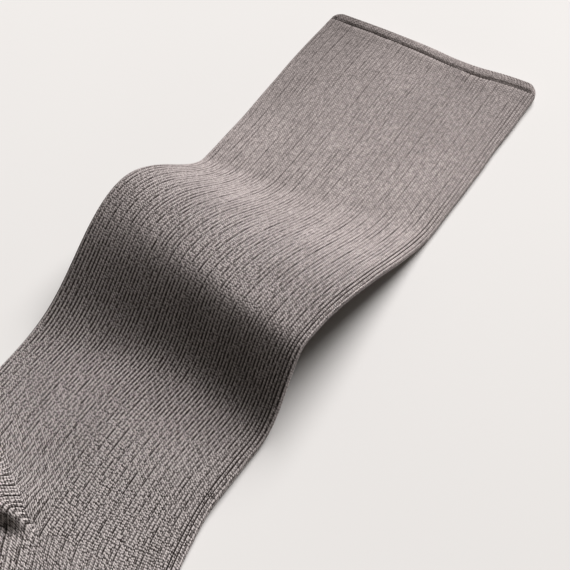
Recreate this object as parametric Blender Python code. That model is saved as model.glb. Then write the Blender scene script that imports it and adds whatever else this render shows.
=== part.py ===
"""A ribbed knitted sock, laid flat on its side, with one soft wave across the leg.

The sock is a flattened tube. Every cross row of the tube is a closed ring: an outer outline with a rib
for each wale of the upper layer, and a plain inner outline that leaves a thin slit between the layers.
Rows are stacked from the cuff to the toe along three guide lines: the instep edge, the gore wale, on
which the heel's gore starts, and the heel edge.

Drawing frame, in millimetres: the cuff's edge lies on y = 0, the leg runs towards -y, the instep is
on the +x side, the heel on the -x side, and z = 0 is the surface that the sock rests on.
"""

import math
from collections import namedtuple

import bmesh
import bpy
import numpy as np

MM = 0.001

# The knitted cloth
LEG_WIDTH = 88.0
WALES_ACROSS = 72
WALL = 1.3
SLIT = 0.4
RIB_DEPTH = 0.36
SEAM_GAP = 0.3
THICKNESS = 2 * WALL + SLIT
HALF_WIDTH = LEG_WIDTH / 2

# Lengths along the leg, from the cuff's edge
WELT_LENGTH = 4.6
LEG_END = 210.0

# The rolled welt: how much thicker it is than the leg, and how far its edge dips past its middle
WELT_EXTRA = 1.0
CUFF_DIP = 2.2
CUFF_DIP_PLACE = 0.4
CUFF_DIP_SPREAD = 0.38
CUFF_DIP_FADE = 30.0

# The welt's rows: place along it, how full its roll is, and how far its corners are drawn in
WeltRow = namedtuple("WeltRow", "share fullness corner")
WELT_ROWS = (
    WeltRow(0.0, 0.15, 1.5),
    WeltRow(0.2, 0.8, 0.45),
    WeltRow(0.55, 1.0, 0.0),
    WeltRow(0.9, 0.55, 0.0),
    WeltRow(1.0, -0.1, 0.0),
)

# The wave across the leg, on three lines along it: the heel edge, the middle and the instep edge.
# "crest" is the crest's distance from the cuff, "height" is the lift there, and "far" and "near"
# are the runs of its slopes towards the cuff and towards the heel.
WaveLine = namedtuple("WaveLine", "crest height far near")
WAVE_HEEL_EDGE = WaveLine(135.0, 27.6, 42.5, 66.0)
WAVE_MIDDLE = WaveLine(145.5, 24.6, 59.5, 36.5)
WAVE_INSTEP_EDGE = WaveLine(153.0, 23.4, 76.0, 31.5)
WAVE_FAR_POWER = 0.79
WAVE_NEAR_POWER = 1.49

# Soft swells of the upper layer: centre, reach across and along, and height
Swell = namedtuple("Swell", "x y reach_x reach_y height")
SWELLS = (
    Swell(-30.0, -30.0, 38.0, 24.0, 1.7),
    Swell(30.0, -2.0, 34.0, 13.0, 1.2),
    Swell(0.0, -200.0, 58.0, 25.0, 2.7),
    Swell(-38.0, -230.0, 18.0, 13.0, 3.0),
    Swell(52.0, -268.0, 20.0, 14.0, 1.2),
    Swell(30.0, -322.0, 26.0, 20.0, 1.3),
)

# The turn from leg to foot, in degrees, and the three guide lines that carry every row.
# A guide is a list of stretches: ("straight", length) or ("turn", radius, degrees), where positive
# degrees turn towards the instep.
FOOT_TURN = 45.0
FOOT_WIDTH = 84.0
FOOT_LENGTH = 232.0
HEEL_FLARE = 52.0
HEEL_FLARE_RADIUS = 14.0
HEEL_RADIUS = 26.0
HEEL_EDGE_STRAIGHT = 214.0
INSTEP_STRAIGHT = 198.0
INSTEP_RADIUS = 115.0
GORE_WALE = -0.05
GORE_WALE_STRAIGHT = 204.0
GORE_WALE_LEAN = 7.5
GORE_WALE_LEAN_RADIUS = 280.0
GORE_TURN = 20.0
GORE_RADIUS = 14.0
GORE_WALE_LAST_RADIUS = 80.0

# Rows of the heel: how far each has run along the three guides. The gore wale nearly stands still
# while the heel edge goes round the heel, which makes the two mitres that meet at the gore's tip.
HeelRow = namedtuple("HeelRow", "instep gore_wale heel_edge")
HEEL_ROWS = (
    HeelRow(LEG_END + SEAM_GAP, LEG_END + SEAM_GAP, LEG_END + SEAM_GAP),
    HeelRow(220.0, 226.0, 213.0),
    HeelRow(231.0, 240.0, 216.0),
    HeelRow(233.5, 240.3, 224.0),
    HeelRow(236.0, 240.6, 232.0),
    HeelRow(238.5, 240.9, 240.0),
    HeelRow(241.0, 241.5, 248.0),
    HeelRow(247.0, 250.0, 259.0),
    HeelRow(254.0, 262.0, 274.0),
)

# Rows between the heel and the foot's straight stretch, rows along that stretch up to the toe's
# seam, and the toe's rows, as distances from its seam
TURNING_ROWS = 3
STRAIGHT_ROWS = 4
TOE_LENGTH = 48.0
TOE_ROWS = (0.0, 1.4, 2.4, 14.0, 24.0, 32.0, 38.0, 42.5, 45.5, 47.4, 48.0)
TOE_SEAM_RIDGE = 0.5
TOE_BLUNTNESS = 2.3
TOE_TIP_HALF_WIDTH = 9.0
TOE_POINTS = 28

# Where the drawing's bounding box has its middle: the object's origin is there, on the surface
ORIGIN_X = 35.4
ORIGIN_Y = -197.0

YARN = (0.36, 0.318, 0.312, 1.0)
YARN_ROUGHNESS = 0.95

# Rows of the leg, as distances from the cuff's edge: close together on the wave
LEG_ROWS = (
    4.9, 25.0, 50.0, 74.0, 88.0, 98.0, 106.0, 113.0, 120.0, 127.0, 133.0, 139.0, 144.0, 149.0,
    154.0, 159.0, 164.0, 169.0, 175.0, 182.0, 190.0, 200.0, LEG_END,
)
UNDERSIDE_STEPS = 7
INNER_STEPS = 10

# Past this place across, the cloth turns round the fold and takes only part of a swell
FOLD_START = 0.95
FOOT_START_MARGIN = 2.0
SLOPE_STEP = 0.5


def clear_scene():
    for obj in list(bpy.data.objects):
        bpy.data.objects.remove(obj, do_unlink=True)


def wave_line(across):
    """The wave on a line along the leg, from -1 at the heel edge to 1 at the instep edge."""
    on_heel_edge = across * (across - 1) / 2
    on_middle = 1 - across * across
    on_instep_edge = across * (across + 1) / 2
    return WaveLine(
        *(
            on_heel_edge * heel + on_middle * middle + on_instep_edge * instep
            for heel, middle, instep in zip(WAVE_HEEL_EDGE, WAVE_MIDDLE, WAVE_INSTEP_EDGE)
        )
    )


def wave_height(x, y):
    """How far the whole sock is lifted off the surface at a point of the plan."""
    line = wave_line(np.clip(x / HALF_WIDTH, -1, 1))
    past_crest = -y - line.crest
    far = np.clip(-past_crest / line.far, 0, 1)
    near = np.clip(past_crest / line.near, 0, 1)
    far_slope = np.cos(far * math.pi / 2) ** (2 * WAVE_FAR_POWER)
    near_slope = np.cos(near * math.pi / 2) ** (2 * WAVE_NEAR_POWER)
    return line.height * far_slope * near_slope


def swell_height(x, y):
    """How far the upper layer stands off the lower one, past the plain thickness."""
    total = np.zeros_like(x)
    for swell in SWELLS:
        distance = ((x - swell.x) / swell.reach_x) ** 2 + ((y - swell.y) / swell.reach_y) ** 2
        total += swell.height * np.exp(-distance)
    return total


def wave_normal(x, y):
    """The unit normal of the lifted middle surface."""
    slope_x = (wave_height(x + SLOPE_STEP, y) - wave_height(x - SLOPE_STEP, y)) / (2 * SLOPE_STEP)
    slope_y = (wave_height(x, y + SLOPE_STEP) - wave_height(x, y - SLOPE_STEP)) / (2 * SLOPE_STEP)
    normal = np.stack([-slope_x, -slope_y, np.ones_like(slope_x)], axis=-1)
    return normal / np.linalg.norm(normal, axis=-1, keepdims=True)


def direction(degrees):
    return np.array([math.cos(math.radians(degrees)), math.sin(math.radians(degrees))])


LEG_HEADING = -90.0
FOOT_HEADING = LEG_HEADING + FOOT_TURN
FOOT_FORWARD = direction(FOOT_HEADING)
FOOT_ACROSS = direction(FOOT_HEADING + 90)


class Guide:
    """A line in the plan, made of straight stretches and arcs, read by the distance run along it."""

    def __init__(self, start_x, stretches):
        self.stretches = []
        point = np.array([start_x, 0.0])
        heading = LEG_HEADING
        run = 0.0
        for kind, size, *turn in stretches:
            self.stretches.append((run, point, heading, kind, size, turn))
            if kind == "straight":
                point = point + size * direction(heading)
                run += size
            else:
                point = self.on_arc(point, heading, size, turn[0], 1.0)
                heading += turn[0]
                run += size * math.radians(abs(turn[0]))
        self.end_run = run
        self.end_point = point

    @staticmethod
    def on_arc(point, heading, radius, degrees, share):
        side = math.copysign(1.0, degrees)
        centre = point + side * radius * direction(heading + 90)
        return centre - side * radius * direction(heading + 90 + degrees * share)

    def at(self, run):
        for start, point, heading, kind, size, turn in reversed(self.stretches):
            if run >= start:
                if kind == "straight" or size == 0:
                    return point + (run - start) * direction(heading)
                share = (run - start) / (size * math.radians(abs(turn[0])))
                return self.on_arc(point, heading, size, turn[0], share)
        return self.stretches[0][1]

    def run_at_foot(self, forward):
        """The distance run where the guide has come this far along the foot's direction."""
        return self.end_run + forward - float(self.end_point @ FOOT_FORWARD)


def make_guides():
    """The three guide lines. Their last straight stretch lies along the foot, at the foot's width."""
    instep = Guide(
        HALF_WIDTH,
        [("straight", INSTEP_STRAIGHT), ("turn", INSTEP_RADIUS, FOOT_TURN), ("straight", 0.0)],
    )
    instep_line = float(instep.end_point @ FOOT_ACROSS)

    def with_middle_stretch(start_x, before, after, line):
        """A guide whose middle straight is as long as it takes to end on a line of the foot."""
        plain = Guide(start_x, before + after)
        heading = LEG_HEADING + sum(stretch[2] for stretch in before if stretch[0] == "turn")
        drift = float(direction(heading) @ FOOT_ACROSS)
        missing = (line - float(plain.end_point @ FOOT_ACROSS)) / drift
        return Guide(start_x, before + [("straight", missing)] + after + [("straight", 0.0)])

    heel_edge = with_middle_stretch(
        -HALF_WIDTH,
        [("straight", HEEL_EDGE_STRAIGHT), ("turn", HEEL_FLARE_RADIUS, -HEEL_FLARE)],
        [("turn", HEEL_RADIUS, HEEL_FLARE + FOOT_TURN)],
        instep_line - FOOT_WIDTH,
    )
    gore_line = instep_line - FOOT_WIDTH * (1 - GORE_WALE) / 2
    gore_wale = with_middle_stretch(
        GORE_WALE * HALF_WIDTH,
        [
            ("straight", GORE_WALE_STRAIGHT),
            ("turn", GORE_WALE_LEAN_RADIUS, GORE_WALE_LEAN),
            ("turn", GORE_RADIUS, GORE_TURN),
        ],
        [("turn", GORE_WALE_LAST_RADIUS, FOOT_TURN - GORE_WALE_LEAN - GORE_TURN)],
        gore_line,
    )
    return instep, gore_wale, heel_edge


def row_between(instep_point, gore_point, heel_point):
    """A function that gives the plan point at a place across a row, from -1 to 1."""

    def place(across):
        across = np.asarray(across, float)[..., None]
        on_heel_side = heel_point + (gore_point - heel_point) * (across + 1) / (GORE_WALE + 1)
        on_instep_side = gore_point + (instep_point - gore_point) * (across - GORE_WALE) / (1 - GORE_WALE)
        return np.where(across < GORE_WALE, on_heel_side, on_instep_side)

    return place


def leg_row(distance, half_width=HALF_WIDTH, edge_dip=0.0):
    """A row straight across the leg. Near the cuff its middle may dip towards the heel."""

    def place(across):
        across = np.asarray(across, float)
        dip = edge_dip * np.exp(-(((across - CUFF_DIP_PLACE) / CUFF_DIP_SPREAD) ** 2))
        return np.stack([across * half_width, -distance - dip], axis=-1)

    return place


def outline(thickness, margin=0.0):
    """Half of a flattened tube's outline, from fold to fold, as a function of the share of its length.

    It gives the place across the row and the height above the middle, in millimetres, and the
    outward direction (across, up). The margin draws the folds in.
    """
    radius = thickness / 2
    flat = 2 * (HALF_WIDTH - margin - radius)
    quarter = math.pi * radius / 2
    length = flat + 2 * quarter

    def read(share):
        run = share * length
        if run < quarter:
            angle = run / radius
            across, up = -flat / 2 - radius * math.cos(angle), radius * math.sin(angle)
            outward = (-math.cos(angle), math.sin(angle))
        elif run > flat + quarter:
            angle = (length - run) / radius
            across, up = flat / 2 + radius * math.cos(angle), radius * math.sin(angle)
            outward = (math.cos(angle), math.sin(angle))
        else:
            across, up = run - quarter - flat / 2, radius
            outward = (0.0, 1.0)
        return across, up, outward

    return read


def ribbed_top(thickness):
    """Outline points of the upper layer: a groove at each wale's border and a crest in its middle."""
    read = outline(thickness)
    points = []
    for half_wale in range(2 * WALES_ACROSS + 1):
        across, up, outward = read(half_wale / (2 * WALES_ACROSS))
        lift = RIB_DEPTH / 2 if half_wale % 2 else -RIB_DEPTH / 2
        points.append((across + lift * outward[0], up + lift * outward[1]))
    return points


def plain_half(thickness, steps, margin=0.0):
    """Outline points of one plain layer, with close points round the folds."""
    read = outline(thickness, margin)
    radius = thickness / 2
    quarter_share = (math.pi * radius / 2) / (2 * (HALF_WIDTH - margin - radius) + math.pi * radius)
    shares = [0.0, quarter_share / 2]
    shares += list(np.linspace(quarter_share, 1 - quarter_share, steps + 1))
    shares += [1 - quarter_share / 2, 1.0]
    return [read(share)[:2] for share in shares]


def ring_points(place, top, bottom, thickness):
    """World points of a ring: its upper half from heel to instep, then its lower half back.

    The height above the middle runs along the normal of the lifted surface. The upper layer takes
    the whole of each swell, the lower layer none, and a fold in between.
    """
    bottom_inside = [(across, -height) for across, height in reversed(bottom)][1:-1]
    flat = np.array(top + bottom_inside)
    across = np.clip(flat[:, 0] / HALF_WIDTH, -1, 1)
    overhang = flat[:, 0] / HALF_WIDTH - across
    plan = place(across)
    edge_direction = place(np.array([1.0])) - place(np.array([-1.0]))
    plan = plan + overhang[:, None] * edge_direction / 2
    x, y = plan[:, 0], plan[:, 1]
    up = flat[:, 1]
    on_fold = np.abs(across) > FOLD_START
    fold_share = np.clip((up + THICKNESS / 2) / THICKNESS, 0, 1)
    upper_share = (up > 0).astype(float)
    points = np.column_stack([x, y, wave_height(x, y) + thickness / 2])
    points = points + up[:, None] * wave_normal(x, y)
    points[:, 2] += np.where(on_fold, fold_share, upper_share) * swell_height(x, y)
    return points


def zip_rings(faces, first, first_keys, second, second_keys):
    """Triangles between two rows of points that run the same way but differ in number."""
    i = j = 0
    while i < len(first) - 1 or j < len(second) - 1:
        step_first = j == len(second) - 1 or (
            i < len(first) - 1 and first_keys[i + 1] + first_keys[i] <= second_keys[j + 1] + second_keys[j]
        )
        if step_first:
            faces.append((first[i], first[i + 1], second[j]))
            i += 1
        else:
            faces.append((first[i], second[j + 1], second[j]))
            j += 1


class Tube:
    """A stretch of the flattened tube, built ring by ring."""

    def __init__(self):
        self.points = []
        self.faces = []

    def add_ring(self, points):
        start = len(self.points)
        self.points.extend(points)
        return list(range(start, start + len(points)))

    def skin(self, rings):
        """Quads between each ring and the next."""
        for near, far in zip(rings, rings[1:]):
            count = len(near)
            for k in range(count):
                following = (k + 1) % count
                self.faces.append((near[k], near[following], far[following], far[k]))

    def annulus(self, outer, outer_top, inner, inner_top):
        """The cut edge of the cloth, between an outer and an inner ring."""
        for outer_row, inner_row in (
            (outer[:outer_top], inner[:inner_top]),
            (outer[outer_top - 1 :] + outer[:1], inner[inner_top - 1 :] + inner[:1]),
        ):
            outer_keys = self.keys(outer_row)
            inner_keys = self.keys(inner_row)
            zip_rings(self.faces, outer_row, outer_keys, inner_row, inner_keys)

    def keys(self, row):
        """How far along its own row each point lies, from 0 to 1."""
        places = np.array([self.points[index] for index in row])
        steps = np.linalg.norm(np.diff(places, axis=0), axis=1)
        run = np.concatenate([[0.0], np.cumsum(steps)])
        return run / run[-1]

    def lid(self, ring, top_count):
        """Closes a ring whose two halves have the same number of points."""
        top = ring[:top_count]
        bottom = [ring[0]] + ring[top_count:][::-1] + [ring[top_count - 1]]
        for k in range(top_count - 1):
            corners = (top[k], top[k + 1], bottom[k + 1], bottom[k])
            self.faces.append(tuple(dict.fromkeys(corners)))

    def to_object(self, name, material):
        mesh = bpy.data.meshes.new(name)
        moved = (np.array(self.points) - np.array([ORIGIN_X, ORIGIN_Y, 0.0])) * MM
        mesh.from_pydata([tuple(point) for point in moved], [], self.faces)
        shaped = bmesh.new()
        shaped.from_mesh(mesh)
        bmesh.ops.triangulate(shaped, faces=shaped.faces)
        bmesh.ops.recalc_face_normals(shaped, faces=shaped.faces)
        shaped.to_mesh(mesh)
        shaped.free()
        mesh.shade_smooth()
        mesh.set_sharp_from_angle(angle=math.radians(40))
        mesh.materials.append(material)
        obj = bpy.data.objects.new(name, mesh)
        bpy.context.scene.collection.objects.link(obj)
        return obj


def open_tube(name, rows, material):
    """A stretch that is open at both ends. Each row is (place, thickness)."""
    inner_half = plain_half(SLIT, INNER_STEPS, WALL)
    tube = Tube()
    outer_rings = []
    inner_rings = []
    for place, thickness in rows:
        top = ribbed_top(thickness)
        bottom = plain_half(thickness, UNDERSIDE_STEPS)
        outer_rings.append(tube.add_ring(ring_points(place, top, bottom, thickness)))
        inner_rings.append(tube.add_ring(ring_points(place, inner_half, inner_half, thickness)))
    tube.skin(outer_rings)
    tube.skin(inner_rings)
    outer_top = 2 * WALES_ACROSS + 1
    inner_top = len(inner_half)
    for end in (0, -1):
        tube.annulus(outer_rings[end], outer_top, inner_rings[end], inner_top)
    return tube.to_object(name, material)


def welt_rows():
    """The rolled edge: round at its mouth, fullest in its middle, drawn in at its groove."""
    rows = []
    for row in WELT_ROWS:
        place = leg_row(row.share * WELT_LENGTH, HALF_WIDTH - row.corner, CUFF_DIP)
        rows.append((place, THICKNESS + WELT_EXTRA * row.fullness))
    return rows


def leg_rows():
    rows = []
    for distance in LEG_ROWS:
        fade = math.exp(-(((distance - WELT_LENGTH) / CUFF_DIP_FADE) ** 2))
        rows.append((leg_row(distance, HALF_WIDTH, CUFF_DIP * fade), THICKNESS))
    return rows


def foot_rows(guides):
    """The heel's rows from their table, then even rows along the foot up to the toe's seam."""
    straight = np.linspace(foot_start(guides), toe_seam(guides) - SEAM_GAP, STRAIGHT_ROWS)
    straight_runs = [[guide.run_at_foot(forward) for guide in guides] for forward in straight]
    last_heel_runs = np.array(HEEL_ROWS[-1])
    turning_runs = [
        last_heel_runs + (np.array(straight_runs[0]) - last_heel_runs) * step / (TURNING_ROWS + 1)
        for step in range(1, TURNING_ROWS + 1)
    ]
    rows = []
    for runs in [*HEEL_ROWS, *turning_runs, *straight_runs]:
        points = [guide.at(run) for guide, run in zip(guides, runs)]
        rows.append((row_between(*points), THICKNESS))
    return rows


def heel_back(guides):
    """The least reach of the heel along the foot's direction."""
    heel_edge = guides[2]
    runs = np.linspace(HEEL_EDGE_STRAIGHT, heel_edge.end_run, 200)
    return min(float(heel_edge.at(run) @ FOOT_FORWARD) for run in runs)


def foot_start(guides):
    """Where all three guides have come on to the foot's straight stretch."""
    return max(float(guide.end_point @ FOOT_FORWARD) for guide in guides) + FOOT_START_MARGIN


def toe_seam(guides):
    return heel_back(guides) + FOOT_LENGTH - TOE_LENGTH


def toe_tube(name, guides, material):
    """The closed toe cap: plain, with the ridge of its linking seam on the upper layer."""
    half = plain_half(THICKNESS, TOE_POINTS)
    inner_half = plain_half(SLIT, INNER_STEPS, WALL)
    seam = toe_seam(guides)
    instep, _, heel_edge = guides
    tube = Tube()
    outer_rings = []
    inner_rings = []
    for distance in TOE_ROWS:
        narrowing = 1 - (distance / TOE_LENGTH) ** TOE_BLUNTNESS
        half_width = TOE_TIP_HALF_WIDTH + (FOOT_WIDTH / 2 - TOE_TIP_HALF_WIDTH) * math.sqrt(narrowing)
        ends = [guide.at(guide.run_at_foot(seam + distance)) for guide in (instep, heel_edge)]
        middle = (ends[0] + ends[1]) / 2
        reach = half_width * FOOT_ACROSS
        place = row_between(middle + reach, middle + GORE_WALE * reach, middle - reach)
        outer = ring_points(place, half, half, THICKNESS)
        if distance < TOE_ROWS[2]:
            outer[2 : len(half) - 2, 2] += TOE_SEAM_RIDGE
        outer_rings.append(tube.add_ring(outer))
        if distance < TOE_LENGTH - WALL:
            narrow = row_between(
                middle + reach * (1 - WALL / half_width * distance / TOE_LENGTH),
                middle + GORE_WALE * reach,
                middle - reach * (1 - WALL / half_width * distance / TOE_LENGTH),
            )
            inner_rings.append(tube.add_ring(ring_points(narrow, inner_half, inner_half, THICKNESS)))
    tube.skin(outer_rings)
    tube.skin(inner_rings)
    tube.annulus(outer_rings[0], len(half), inner_rings[0], len(inner_half))
    tube.lid(outer_rings[-1], len(half))
    tube.lid(inner_rings[-1], len(inner_half))
    return tube.to_object(name, material)


def yarn_material(name, shade):
    material = bpy.data.materials.new(name)
    material.use_nodes = True
    shader = material.node_tree.nodes["Principled BSDF"]
    shader.inputs["Base Color"].default_value = tuple(shade * value for value in YARN[:3]) + (1.0,)
    shader.inputs["Roughness"].default_value = YARN_ROUGHNESS
    shader.inputs["Metallic"].default_value = 0.0
    return material


def main():
    clear_scene()
    guides = make_guides()
    open_tube("cuff_welt", welt_rows(), yarn_material("welt yarn", 0.9))
    open_tube("leg", leg_rows(), yarn_material("leg yarn", 1.0))
    open_tube("heel_foot", foot_rows(guides), yarn_material("foot yarn", 1.0))
    toe_tube("toe", guides, yarn_material("toe yarn", 0.95))


main()
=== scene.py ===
"""The looks of a ribbed knitted sock, laid flat on its side, on a pale floor under soft light.

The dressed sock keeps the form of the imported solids. It is worked out here by the same rules, with
rows 1.35 to 1.5 mm apart and five points across each wale of the upper layer.

Drawing frame, in millimetres: the cuff's edge lies on y = 0, the leg runs towards -y, the instep
is on the +x side, the heel on the -x side, and z = 0 is the surface that the sock rests on.
"""

import math
from collections import namedtuple

import bpy
import numpy as np
from mathutils import Matrix


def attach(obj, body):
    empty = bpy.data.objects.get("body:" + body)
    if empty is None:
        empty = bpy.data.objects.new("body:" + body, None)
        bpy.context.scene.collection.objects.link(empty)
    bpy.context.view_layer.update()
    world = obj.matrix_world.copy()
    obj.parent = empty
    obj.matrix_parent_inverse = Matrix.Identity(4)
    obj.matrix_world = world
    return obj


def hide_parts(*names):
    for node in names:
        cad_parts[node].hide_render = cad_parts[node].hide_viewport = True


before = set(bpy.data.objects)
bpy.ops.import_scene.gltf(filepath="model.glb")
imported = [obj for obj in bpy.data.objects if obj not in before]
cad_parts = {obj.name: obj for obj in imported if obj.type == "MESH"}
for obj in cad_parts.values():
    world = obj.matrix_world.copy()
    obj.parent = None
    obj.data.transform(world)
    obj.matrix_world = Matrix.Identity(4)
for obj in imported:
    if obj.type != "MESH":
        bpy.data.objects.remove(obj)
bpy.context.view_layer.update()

MM = 0.001

# The knitted cloth
LEG_WIDTH = 88.0
WALES_ACROSS = 72
WALL = 1.3
SLIT = 0.4
RIB_DEPTH = 0.36
THICKNESS = 2 * WALL + SLIT
HALF_WIDTH = LEG_WIDTH / 2
WALES_AROUND = 2 * WALES_ACROSS
COURSE = 0.9

# Lengths along the leg, from the cuff's edge
WELT_LENGTH = 4.6
LEG_END = 210.15

# How the rows near the cuff dip in their middle and tilt, and how the leg sways sideways
CUFF_DIP = 2.2
CUFF_DIP_PLACE = 0.4
CUFF_DIP_SPREAD = 0.38
CUFF_DIP_FADE = 30.0
CUFF_TILT = 2.1
CUFF_TILT_FADE = 45.0
LEG_SWAY = 1.3
LEG_SWAY_PLACE = 78.0
LEG_SWAY_REACH = 42.0

# The rolled welt: how much thicker it is, and how full and how drawn in at its corners along it
WELT_EXTRA = 1.2
WeltRow = namedtuple("WeltRow", "share fullness corner")
WELT_ROWS = (
    WeltRow(0.0, 0.5, 4.4),
    WeltRow(0.12, 0.75, 2.6),
    WeltRow(0.3, 0.95, 1.4),
    WeltRow(0.5, 1.0, 0.7),
    WeltRow(0.75, 0.9, 0.2),
    WeltRow(0.9, 0.65, 0.05),
    WeltRow(1.0, 0.45, 0.0),
)
WELT_OUTER_ROWS = 14
WELT_LIP_ROWS = 10
WELT_INNER_ROWS = 4
WELT_GROOVE_FADE = 3.5

# The line cut along the welt's seam: its depth, the mean share of that and how much it varies, its
# width, how far it strays, and over how many wales it fades at the folds
WELT_CUT = 0.5
WELT_CUT_SHARE = (0.6, 0.4)
WELT_CUT_WIDTH = 0.5
WELT_CUT_STRAY = 0.35
WELT_CUT_FADE = 3.0

# The wave across the leg, on three lines along it
WaveLine = namedtuple("WaveLine", "crest height far near")
WAVE_HEEL_EDGE = WaveLine(135.0, 27.6, 42.5, 66.0)
WAVE_MIDDLE = WaveLine(145.5, 24.6, 59.5, 36.5)
WAVE_INSTEP_EDGE = WaveLine(153.0, 23.4, 76.0, 31.5)
WAVE_FAR_POWER = 0.79
WAVE_NEAR_POWER = 1.49

# Soft swells of the upper layer: centre, reach across and along, and height
Swell = namedtuple("Swell", "x y reach_x reach_y height")
SWELLS = (
    Swell(-30.0, -30.0, 38.0, 24.0, 1.7),
    Swell(30.0, -2.0, 34.0, 13.0, 1.2),
    Swell(0.0, -200.0, 58.0, 25.0, 2.7),
    Swell(-38.0, -230.0, 18.0, 13.0, 3.0),
    Swell(52.0, -268.0, 20.0, 14.0, 1.2),
    Swell(30.0, -322.0, 26.0, 20.0, 1.3),
)

# The heel's puff: a soft rise on the leg's side of the lower mitre, with a steep drop behind it
PUFF_TIP = (4.5, -242.6)
PUFF_END = (-61.0, -249.0)
PUFF_HEIGHT = 5.0
PUFF_RISE = 9.0
PUFF_FADE = 30.0
PUFF_REACH = 12.0
PUFF_DROP = 3.6

# The turn from leg to foot, and the guide lines that carry every row
FOOT_TURN = 45.0
FOOT_WIDTH = 84.0
FOOT_LENGTH = 232.0
HEEL_FLARE = 52.0
HEEL_FLARE_RADIUS = 14.0
HEEL_RADIUS = 26.0
HEEL_EDGE_STRAIGHT = 214.0
INSTEP_STRAIGHT = 198.0
INSTEP_RADIUS = 115.0
GORE_WALE = 0.05
GORE_WALE_STRAIGHT = 204.0
GORE_WALE_LEAN = 7.5
GORE_WALE_LEAN_RADIUS = 280.0
GORE_TURN = 20.0
GORE_RADIUS = 14.0
GORE_WALE_LAST_RADIUS = 80.0

# Rows of the heel: how far each has run along the three guides
HeelRow = namedtuple("HeelRow", "instep gore_wale heel_edge bow")
HEEL_ROWS = (
    HeelRow(LEG_END, LEG_END, LEG_END, 0.0),
    HeelRow(220.0, 227.0, 210.8, 0.0),
    HeelRow(231.0, 242.0, 212.0, 0.0),
    HeelRow(233.5, 242.3, 222.0, 0.04),
    HeelRow(236.0, 242.6, 232.0, 0.08),
    HeelRow(238.5, 242.9, 240.0, 0.12),
    HeelRow(241.0, 243.5, 248.0, 0.16),
    HeelRow(247.0, 252.0, 259.0, 0.10),
    HeelRow(254.0, 264.0, 274.0, 0.04),
)
FOOT_START_MARGIN = 2.0
TOE_LENGTH = 48.0
TOE_BLUNTNESS = 2.3
TOE_TIP_HALF_WIDTH = 9.0
TOE_SEAM_RIDGE = 0.5
TOE_SEAM_WIDTH = 1.9
TOE_SEAM_FADE = 2.0

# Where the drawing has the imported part's origin
ORIGIN = np.array([35.4, -197.0, 0.0])

# How fine the dressed mesh is: places of its points in a wale, and the distances between its rows
UPPER_STEPS = (0.0, 0.16, 0.38, 0.62, 0.84)
UNDER_STEPS = (0.0, 0.5)
LEG_ROW_STEP = 1.35
FOOT_ROW_STEP = 1.5
INNER_POINTS = 44
INNER_ROW_SKIP = 3

# The toe's rows: close by the seam, even along the cap, and closer and closer up to the tip
TOE_SEAM_ROWS_END = 2.85
TOE_SEAM_ROWS = 8
TOE_BODY_ROWS = 44
TOE_TIP_SHARE = 0.1
TOE_TIP_ROWS = 14
TOE_INNER_SHARES = (0.85, 0.93)
TOE_INNER_ROWS = 14

# Where a row's fold starts, as a share of its half width: for the layers' swells and for the waver
# of the edges. And the step over which the wave's slope is measured
FOLD_START = 0.95
WAVER_START = 0.9
SLOPE_STEP = 0.5

# The map of wales and courses on each mesh, and the angle from which an edge is drawn sharp
KNIT_MAP = "knit"
SHARP_ANGLE = 80.0

# Camera, fitted to the photo's edges and rib lines: place in the drawing, angles and focal length
CAMERA_PLACE = np.array([198.03, -362.26, 389.78])
CAMERA_YAW = -37.573
CAMERA_DOWN = 52.246
CAMERA_ROLL = -4.14
PHOTO_PIXELS = 570
FOCAL_PIXELS = 1450.17
SENSOR_WIDTH = 36.0


# ---- Form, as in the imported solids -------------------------


def wave_line(across):
    """The wave on a line along the leg, from -1 at the heel edge to 1 at the instep edge."""
    on_heel_edge = across * (across - 1) / 2
    on_middle = 1 - across * across
    on_instep_edge = across * (across + 1) / 2
    return WaveLine(
        *(
            on_heel_edge * heel + on_middle * middle + on_instep_edge * instep
            for heel, middle, instep in zip(WAVE_HEEL_EDGE, WAVE_MIDDLE, WAVE_INSTEP_EDGE)
        )
    )


def wave_height(x, y):
    """How far the whole sock is lifted off the surface at a point of the plan."""
    line = wave_line(np.clip(x / HALF_WIDTH, -1, 1))
    past_crest = -y - line.crest
    far = np.clip(-past_crest / line.far, 0, 1)
    near = np.clip(past_crest / line.near, 0, 1)
    far_slope = np.cos(far * math.pi / 2) ** (2 * WAVE_FAR_POWER)
    near_slope = np.cos(near * math.pi / 2) ** (2 * WAVE_NEAR_POWER)
    return line.height * far_slope * near_slope


def swell_height(x, y):
    """How far the upper layer stands off the lower one, past the plain thickness."""
    total = np.zeros_like(x)
    for swell in SWELLS:
        distance = ((x - swell.x) / swell.reach_x) ** 2 + ((y - swell.y) / swell.reach_y) ** 2
        total += swell.height * np.exp(-distance)
    return total


def puff_height(x, y):
    """How far the heel's pouch stands up beside the mitre that runs from the gore's tip."""
    from_tip = PUFF_TIP[0] - x
    length = PUFF_TIP[0] - PUFF_END[0]
    mitre_y = PUFF_TIP[1] + (PUFF_END[1] - PUFF_TIP[1]) * np.clip(from_tip / length, 0, 1)
    height = PUFF_HEIGHT * smooth_step(from_tip / PUFF_RISE)
    height = height * (1 - smooth_step((from_tip - PUFF_FADE) / PUFF_FADE))
    on_leg_side = np.exp(-((np.maximum(y - mitre_y, 0) / PUFF_REACH) ** 2))
    behind = 1 - smooth_step((mitre_y - y) / PUFF_DROP)
    return height * np.where(y > mitre_y, on_leg_side, behind)


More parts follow.
